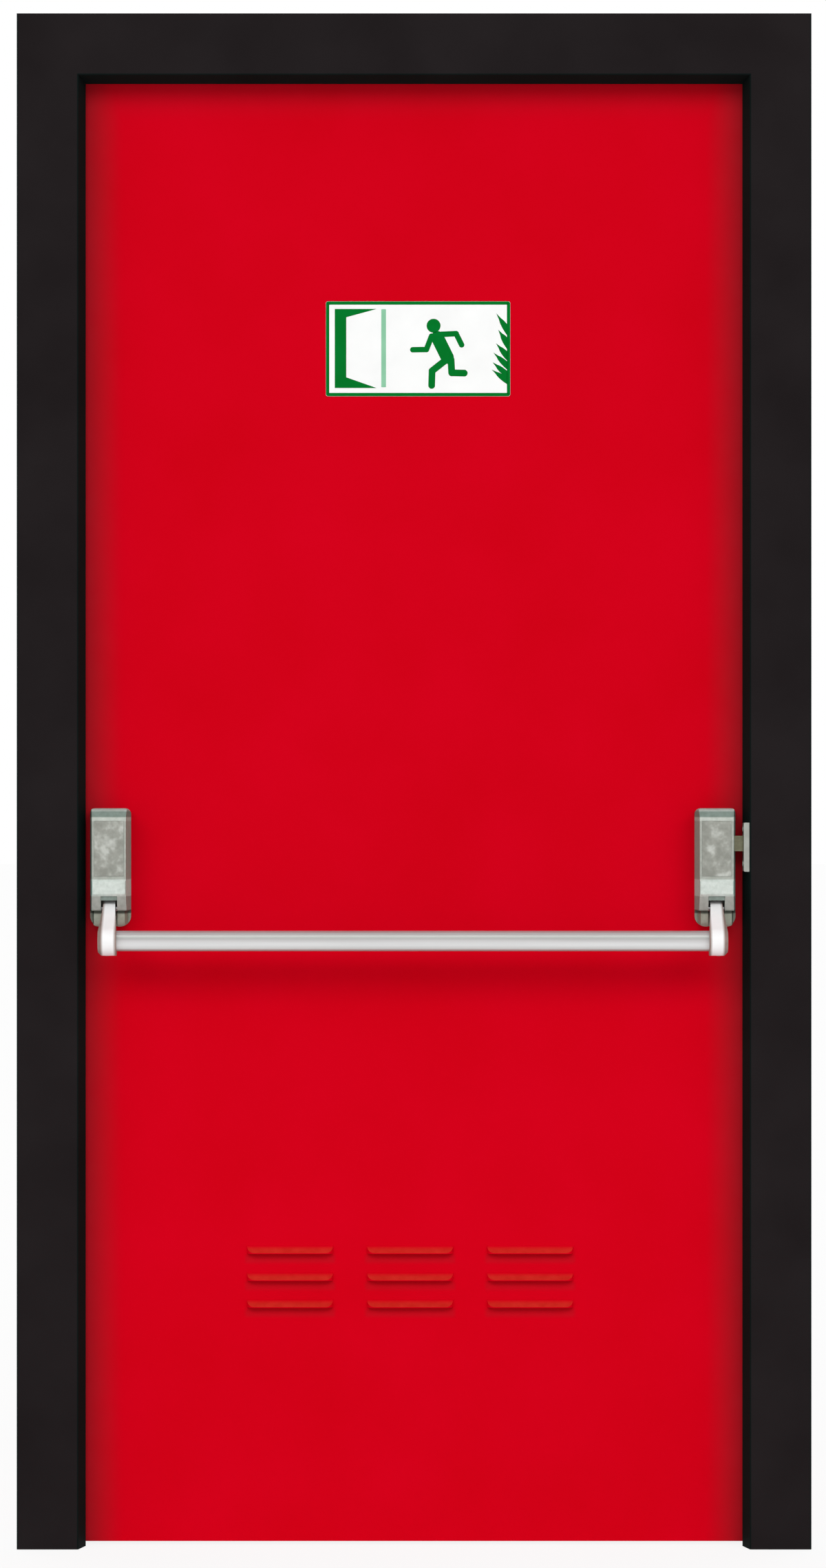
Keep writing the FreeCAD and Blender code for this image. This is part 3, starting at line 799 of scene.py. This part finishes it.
border = sign_rectangle(
    "sign_border", border_margin, border_margin, sign_width - border_margin, sign_height - border_margin
)
pick_points(border, everything)
bpy.ops.mesh.bevel(offset=border_corner, segments=4, affect="VERTICES")
pick_faces(border, everything)
bpy.ops.mesh.inset(thickness=border_width * MM)
bpy.ops.mesh.delete(type="FACE")
thick_film(border)
printed(border, sign_green)
print("border", len(border.data.polygons), "faces")

# %% [markdown]
# ## Doorway on the sign
# The picture's open door is a dark post with two pointed returns, and a pale strip for the edge of the
# door. Post and returns could be three pieces, but would show seams. So the post starts as one plane over
# the whole doorway. Three bisect cuts draw the opening in it, and the face in the middle is deleted.

# %% Post and returns
doorway_left, doorway_low, doorway_right, doorway_high = 12.3, 11.4, 69.5, 119.9
post_right = 28.0
opening_low, opening_high = 26.0, 108.6

doorway = sign_rectangle("sign_doorway", doorway_left, doorway_low, doorway_right, doorway_high)
returns = [
    (Vector((post_right, opening_high)), Vector((doorway_right, doorway_high))),
    (Vector((post_right, opening_low)), Vector((doorway_right, doorway_low))),
]
cuts = [(on_sign(post_right, 0), Vector((1, 0, 0)))]
for start, end in returns:
    run = end - start
    cuts.append((on_sign(*start), Vector((-run.y, 0, run.x)).normalized()))
for place, normal in cuts:
    pick_faces(doorway, everything)
    bpy.ops.mesh.bisect(plane_co=place, plane_no=normal)


def in_opening(middle, facing):
    """True between the post and the two returns."""
    beyond_post, over_top, over_foot = [(middle - place).dot(normal) for place, normal in cuts]
    return beyond_post > 0 and over_top < 0 and over_foot > 0


pick_faces(doorway, in_opening)
bpy.ops.mesh.delete(type="FACE")
pick_faces(doorway, everything)
bpy.ops.mesh.dissolve_limited()
thick_film(doorway)
printed(doorway, sign_green)
print("doorway", len(doorway.data.polygons), "faces")

# %% Edge of the door
strip_left, strip_low, strip_right, strip_high = 76.2, 12.4, 82.6, 119.6
strip_corner = 0.8 * MM

door_edge = sign_rectangle("sign_door_edge", strip_left, strip_low, strip_right, strip_high)
pick_points(door_edge, everything)
bpy.ops.mesh.bevel(offset=strip_corner, segments=3, affect="VERTICES")
thick_film(door_edge)
printed(door_edge, pale_green)
print("door edge", len(door_edge.data.polygons), "faces")

# %% [markdown]
# ## Running figure
# The exit figure is made of round-ended strokes, as on any such sign. It could be one traced outline, but
# strokes between joints are easier to pose. A stroke is a disc of which one half is moved to the next
# joint. The lower half of each limb is a trace slimmer, so that no two discs coincide. Made thick and
# united, the strokes become one clean piece with no overlaps.

# %% A stroke
stroke_points = 32


def flat_disc(name, middle, across, up, lean, points):
    """A flat oval on the sign with given half axes, turned by lean, to be shaped further."""
    use_only()
    bpy.ops.mesh.primitive_circle_add(
        vertices=points, radius=MM, fill_type="NGON", location=middle, rotation=(facing_viewer[0], -lean, 0)
    )
    bpy.context.object.scale = (across, up, 1)
    return started(name)


def stroke(name, start, end, radius):
    """A round-ended stroke between two joints, with the thickness of the print."""
    first, last = on_sign(*start), on_sign(*end)
    # Turned by half a step, no point of the disc lies on the line where it is divided.
    half_step = math.pi / stroke_points
    lean = math.atan2(end[1] - start[1], end[0] - start[0]) + half_step
    piece = flat_disc(name, first, radius, radius, lean, stroke_points)
    pick_points(piece, lambda place: (place - first).dot(last - first) > 0)
    bpy.ops.transform.translate(value=last - first)
    thick_film(piece)
    return piece


print("points round a stroke", stroke_points)

# %% Figure
trunk_radius, head_radius, arm_radius, leg_radius = 9.0, 9.5, 3.8, 4.7
joint_step = 0.1
trunk_top, trunk_foot = (153.4, 80.6), (166.8, 53.5)
head_left, head_right = (148.0, 96.9), (148.1, 96.9)
limbs = {
    "front_arm": (arm_radius, [(145.3, 82.6), (138.2, 64.2), (119.4, 63.9)]),
    "rear_arm": (arm_radius, [(158.7, 85.1), (179.0, 86.0), (186.6, 70.6)]),
    "front_leg": (leg_radius, [(163.2, 48.5), (146.0, 34.9), (145.4, 14.9)]),
    "rear_leg": (leg_radius, [(172.0, 50.3), (173.0, 32.2), (190.2, 31.8)]),
}

runner = stroke("sign_runner", trunk_top, trunk_foot, trunk_radius)
strokes = [
    stroke(limb, joints[half], joints[half + 1], radius - half * joint_step)
    for limb, (radius, joints) in limbs.items()
    for half in (0, 1)
]
combine(runner, strokes, "UNION")
printed(runner, sign_green)
printed(stroke("sign_runner_head", head_left, head_right, head_radius), sign_green)
print("runner", len(runner.data.polygons), "faces")

# %% [markdown]
# ## Flames
# Flames lick in from the right border. A zigzag outline would look like a saw, so they are built as
# tongues: a disc squeezed to a slim oval, with one end drawn out to a point. The tongues overlap, are cut
# off where the border begins, and are united.

# %% Flames
tongue_points = 16
tip_near = 0.5 * MM
tip_stretch = 0.35
border_overlap = 0.5
flames_end = sign_width - border_margin - border_width + border_overlap
tongues = [
    ((238.5, 107.5), (262, 72), 9),
    ((240.5, 86), (261, 56), 10),
    ((238, 68), (261, 42), 9),
    ((235, 55.5), (261, 31), 8.5),
    ((233.5, 43), (258, 22), 8),
    ((233, 33), (261, 12.5), 8),
]


def tongue(name, tip, root, width):
    """A slim oval from tip to root with a pointed tip, cut off at the border."""
    first, last = Vector(root), Vector(tip)
    run = last - first
    point, middle = on_sign(*last), on_sign(*((first + last) / 2))
    lean = math.atan2(run.y, run.x)
    piece = flat_disc(name, middle, run.length / 2, width / 2, lean, tongue_points)
    pick_points(piece, lambda place: (place - point).length < tip_near)
    bpy.ops.transform.translate(value=(point - middle) * tip_stretch)
    pick_faces(piece, everything)
    bpy.ops.mesh.bisect(plane_co=on_sign(flames_end, 0), plane_no=(1, 0, 0), clear_outer=True)
    thick_film(piece)
    return piece


flames = tongue("sign_flames", *tongues[0])
combine(flames, [tongue("tongue", *shape) for shape in tongues[1:]], "UNION")
printed(flames, sign_green)
print("flames", len(flames.data.polygons), "faces")

# %% [markdown]
# ## Hammered panels
# The plate in the front of each housing is hammered: shallow dents in no order. Bump in the material would
# vanish from the side, so the dents are real. A fine grid is pushed in and out by a noise texture, except
# along a flat rim, then its edge is extruded back to the depth of the plate and closed.

# %% Hammered panels
panel_steps = (32, 60)
dent_depth = 0.5 * MM
dent_size = 7 * MM
panel_rim = 2.0 * MM
sides = ("hinge_side", "latch_side")
dents = bpy.data.textures.new("hammer dents", "CLOUDS")
dents.noise_scale = dent_size


def hammered_panel(name, node):
    """A dented plate in place of a plain one."""
    low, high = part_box(node)
    use_only()
    bpy.ops.mesh.primitive_grid_add(
        x_subdivisions=panel_steps[0],
        y_subdivisions=panel_steps[1],
        size=1,
        location=((low.x + high.x) / 2, low.y, (low.z + high.z) / 2),
        rotation=facing_viewer,
    )
    bpy.context.object.scale = (high.x - low.x, high.z - low.z, 1)
    piece = started(name)
    field = piece.vertex_groups.new(name="field")
    inner = [
        point.index
        for point in piece.data.vertices
        if low.x + panel_rim < point.co.x < high.x - panel_rim
        and low.z + panel_rim < point.co.z < high.z - panel_rim
    ]
    field.add(inner, 1, "REPLACE")
    apply_modifier(
        piece, "DISPLACE", texture=dents, texture_coords="LOCAL", strength=dent_depth, vertex_group="field"
    )
    pick_edges(piece, lambda one, other, faces: faces == 1)
    bpy.ops.mesh.extrude_region_move(TRANSFORM_OT_translate={"value": (0, high.y - low.y, 0)})
    bpy.ops.mesh.edge_face_add()
    tidy_normals(piece)
    belongs(piece, "leaf", hammered)
    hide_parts(node)
    print(name, len(piece.data.polygons), "faces")


for side in sides:
    hammered_panel(f"{side}_hammered_panel", f"{side}_face_panel")

# %% [markdown]
# ## Slot lips
# Where a lever enters its housing, the top of the slot is a band of shade. A grey strip hangs down there in
# its place, and its grey is painted shade. It could be drawn as a shadow in the paint, but from the side it
# would be missing. It starts as a cube as wide as the slot, whose place is read from the cover, and its two
# lower edges are rounded with a bevel.

# %% Where the slots are
level_slack = 0.1 * MM


def slot_corners(side):
    """The corners of a cover's slot under the ridge, beside the lever."""
    left, right = (corner.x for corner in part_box(f"{side}_lever"))
    points = [point.co for point in nodes[f"{side}_cover"].data.vertices]
    return [place for place in points if left < place.x < right and abs(place.z - ridge_low) < level_slack]


print("corners of the slots", [len(slot_corners(side)) for side in sides])

# %% Slot lips
lip_height = 6.0 * MM
lip_depth = 3.0 * MM
lip_recess = 1.5 * MM
lip_gap = 0.2 * MM
lip_round = 1.2 * MM
lip_foot = ridge_low - lip_height
# Painted shade: the strip's grey stands for the shade at the top of the slot.
lip_shade_grey = new_finish("grey slot lip, painted shade", roughness=0.7, specular=0.2)
coloured(lip_shade_grey, shades(lip_shade_grey, 5, tone(120, 132, 125), tone(134, 146, 139)))


def block(name, middle, size):
    """A cube stretched to a size round its middle, to be shaped further."""
    use_only()
    bpy.ops.mesh.primitive_cube_add(size=1, location=middle)
    bpy.context.object.scale = size
    return started(name)


def lower_long_edge(one, other, faces):
    """True for the two edges along the foot of a lip."""
    return max(one.z, other.z) < lip_foot + lip_gap and one.y == other.y


for side in sides:
    corners = slot_corners(side)
    left = min(place.x for place in corners) + lip_gap
    right = max(place.x for place in corners) - lip_gap
    front = min(place.y for place in corners) + lip_recess
    middle = ((left + right) / 2, front + lip_depth / 2, ridge_low - lip_height / 2)
    lip = block(f"{side}_slot_lip", middle, (right - left, lip_depth, lip_height))
    pick_edges(lip, lower_long_edge)
    bpy.ops.mesh.bevel(offset=lip_round, segments=3, affect="EDGES")
    tidy_normals(lip)
    belongs(lip, "leaf", lip_shade_grey)
    print(lip.name, [round(v / MM, 1) for v in (left, right, front, lip_foot)])

# %% [markdown]
# ## Screws
# Cross-recess screws hold the hinges and the latch's keeper. One is modelled upright at the origin: a
# cylinder whose rim is bevelled to a low dome, with two crossing slots cut into it. Modelling each in its
# place would mean turning every step, so copies are turned and moved to their places, each with a mesh of
# its own.

# %% One screw
screw_radius = 4.0 * MM
screw_height = 1.1 * MM
screw_round = 0.7 * MM
slot_length, slot_width, slot_depth = 4.4 * MM, 0.9 * MM, 0.8 * MM
same_way = 0.9


def upright_disc(name, radius, height, points, foot=0.0):
    """A cylinder that stands over the origin, to be shaped further."""
    use_only()
    bpy.ops.mesh.primitive_cylinder_add(
        vertices=points, radius=radius, depth=height, location=(0, 0, foot + height / 2)
    )
    return started(name)


def on_top(middle, normal):
    """True for faces that look up."""
    return normal.z > same_way


screw = upright_disc("screw", screw_radius, screw_height, points=32)
pick_faces(screw, on_top)
bpy.ops.mesh.bevel(offset=screw_round, segments=3, affect="EDGES")
slots = [
    block("slot", (0, 0, screw_height), (length, width, 2 * slot_depth))
    for length, width in ((slot_length, slot_width), (slot_width, slot_length))
]
combine(screw, slots, "DIFFERENCE")
tidy_normals(screw)
print("screw", len(screw.data.polygons), "faces")

# %% Plates and barrels of the hinges
hinges = ("lower", "middle", "upper")
towards_back = Vector((0, 1, 0))


def hinge_halves(hinge):
    """Each half's solid, body and side of the pin."""
    return (f"{hinge}_hinge_frame_half", "frame", -1), (f"{hinge}_hinge_leaf_half", "leaf", 1)


def barrel(hinge):
    """The middle line, in X and Y, and the radius of a hinge's barrel."""
    leaf_low, leaf_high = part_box(f"{hinge}_hinge_leaf_half")
    left, right = leaf_low.x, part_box(f"{hinge}_hinge_frame_half")[1].x
    radius = (right - left) / 2
    return Vector(((left + right) / 2, leaf_high.y - radius)), radius


def back_of_plate(node):
    """How far back the largest face lies that looks to the pull side."""
    faces = [face for face in nodes[node].data.polygons if face.normal.dot(towards_back) > same_way]
    return max(faces, key=lambda face: face.area).center.y


print("barrels of radius, mm", [round(barrel(hinge)[1] / MM, 2) for hinge in hinges])

# %% Screws on hinges
screw_margin = 11 * MM
screw_step = 13 * MM


def copy_to(model, name, place, outward):
    """A copy of a model with its own mesh, standing on a place and pointing outward."""
    use_only(model)
    bpy.ops.object.duplicate()
    piece = bpy.context.object
    piece.location = place
    piece.rotation_euler = outward.to_track_quat("Z", "Y").to_euler()
    return started(name)


for hinge in hinges:
    pin, _ = barrel(hinge)
    plate_low, plate_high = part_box(f"{hinge}_hinge_leaf_half")
    plate_height = plate_high.z - plate_low.z
    heights = (screw_margin, plate_height / 2, plate_height - screw_margin)
    for node, body, side in hinge_halves(hinge):
        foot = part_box(node)[0].z
        outer = pin.x + side * (plate_high.x - pin.x - screw_margin)
        inner = outer - side * screw_step
        for number, (x, height) in enumerate(zip((inner, outer, inner), heights), 1):
            place = Vector((x, back_of_plate(node), foot + height))
            piece = copy_to(screw, f"{node}_screw_{number}", place, towards_back)
            belongs(piece, body, zinc)
print("screws on", len(hinges), "hinges")

# %% Screws on the keeper
lower_screw_rise, upper_screw_drop = 11 * MM, 9 * MM
towards_leaf = Vector((-1, 0, 0))
keeper_low, keeper_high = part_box("latch_keeper")
keeper_heights = {"lower": keeper_low.z + lower_screw_rise, "upper": keeper_high.z - upper_screw_drop}

for name, height in keeper_heights.items():
    place = Vector((keeper_low.x, (keeper_low.y + keeper_high.y) / 2, height))
    piece = copy_to(screw, f"latch_keeper_{name}_screw", place, towards_leaf)
    belongs(piece, "frame", zinc)
bpy.data.objects.remove(screw)
print("screws on the keeper", len(keeper_heights))

# %% [markdown]
# ## Hinge caps
# A lift-off hinge has a small pressed cap on the open end of each barrel, to keep dirt off the pin. Half a
# sphere would be too tall, so it is a short cylinder whose upper rim is rounded with a wide bevel. The
# upper cap swings with the leaf, and the lower one stays with the frame.

# %% Hinge caps
cap_edge = 0.8 * MM
cap_height = 3.0 * MM
cap_round = 2.2 * MM
upwards = Vector((0, 0, 1))

_, barrel_radius = barrel("lower")
cap = upright_disc("cap", barrel_radius - cap_edge, cap_height, points=40)
pick_faces(cap, on_top)
bpy.ops.mesh.bevel(offset=cap_round, segments=5, affect="EDGES")
tidy_normals(cap)

for hinge in hinges:
    pin, _ = barrel(hinge)
    for node, body, side in hinge_halves(hinge):
        low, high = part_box(node)
        end = high.z if side > 0 else low.z
        piece = copy_to(cap, f"{node}_cap", Vector((pin.x, pin.y, end)), upwards * side)
        belongs(piece, body, zinc)
bpy.data.objects.remove(cap)
print("caps", 2 * len(hinges))

# %% [markdown]
# ## Plugs in the rebates
# The frame is bolted to the wall through holes in its rebate, and a rubber plug closes each hole
# afterwards. A plug is a low disc with a rounded rim and a dished middle: a cylinder, an inset of its outer
# face, and that face pushed in. Its place could be typed in, but the record of the part says where the
# anchor bolts are, so the plugs follow the bolts.

# %% One plug
plug_radius = 11.0 * MM
plug_height = 1.0 * MM
plug_round = 0.4 * MM
plug_rim = plug_radius / 3
plug_dish = 0.4 * MM

plug = upright_disc("plug", plug_radius, plug_height, points=32)
pick_faces(plug, on_top)
bpy.ops.mesh.bevel(offset=plug_round, segments=2, affect="EDGES")
pick_faces(plug, on_top)
bpy.ops.mesh.inset(thickness=plug_rim)
bpy.ops.mesh.extrude_region_move(TRANSFORM_OT_translate={"value": (0, 0, -plug_dish)})
tidy_normals(plug)
print("plug", len(plug.data.polygons), "faces")

# %% Plugs over the bolts
dead_level = 0.99
plug_count = 0
for mount in frame["record"]["mounts"]:
    if mount["kind"] != "bolt_pattern":
        continue
    inwards = -Vector(mount["axis"])
    jamb = "hinge_jamb" if inwards.x > 0 else "strike_jamb"
    level = [face for face in nodes[jamb].data.polygons if face.normal.dot(inwards) > dead_level]
    rebate = max(level, key=lambda face: face.center.dot(inwards)).center.x
    middle = Vector(mount["pos_m"])
    for step in (-0.5, 0.5):
        height = middle.z + step * mount["dims"]["spacing_y_mm"] * MM
        plug_count += 1
        piece = copy_to(plug, f"{jamb}_plug_{plug_count}", Vector((rebate, middle.y, height)), inwards)
        belongs(piece, "frame", rubber)
bpy.data.objects.remove(plug)
print("plugs", plug_count)

# %% [markdown]
# ## Grub screws
# Each lever is clamped to the bar by a headless screw from below. It is a short cylinder with a chamfered
# rim. Its six-sided socket could be drawn on the end face point by point, but a six-sided cylinder cuts it
# in one step. Only the end shows, a little under the lever.

# %% Grub screws
grub_radius = 3.0 * MM
grub_height = 1.2 * MM
grub_chamfer = 0.25 * MM
grub_shows = 0.3 * MM
socket_radius = 1.6 * MM

grub = upright_disc("grub", grub_radius, grub_height, points=24)
pick_faces(grub, on_top)
bpy.ops.mesh.bevel(offset=grub_chamfer, segments=1, affect="EDGES")
socket = upright_disc("socket", socket_radius, grub_height, points=6, foot=grub_height / 2)
combine(grub, [socket], "DIFFERENCE")
tidy_normals(grub)

bar_middle = (bar_low + bar_high) / 2
for side in sides:
    lever_low, lever_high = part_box(f"{side}_lever")
    lever_middle = (lever_low.x + lever_high.x) / 2
    place = Vector((lever_middle, bar_middle.y, lever_low.z + grub_height - grub_shows))
    piece = copy_to(grub, f"{side}_grub_screw", place, -upwards)
    belongs(piece, "bar", pin_steel)
bpy.data.objects.remove(grub)
print("grub screws", len(sides))
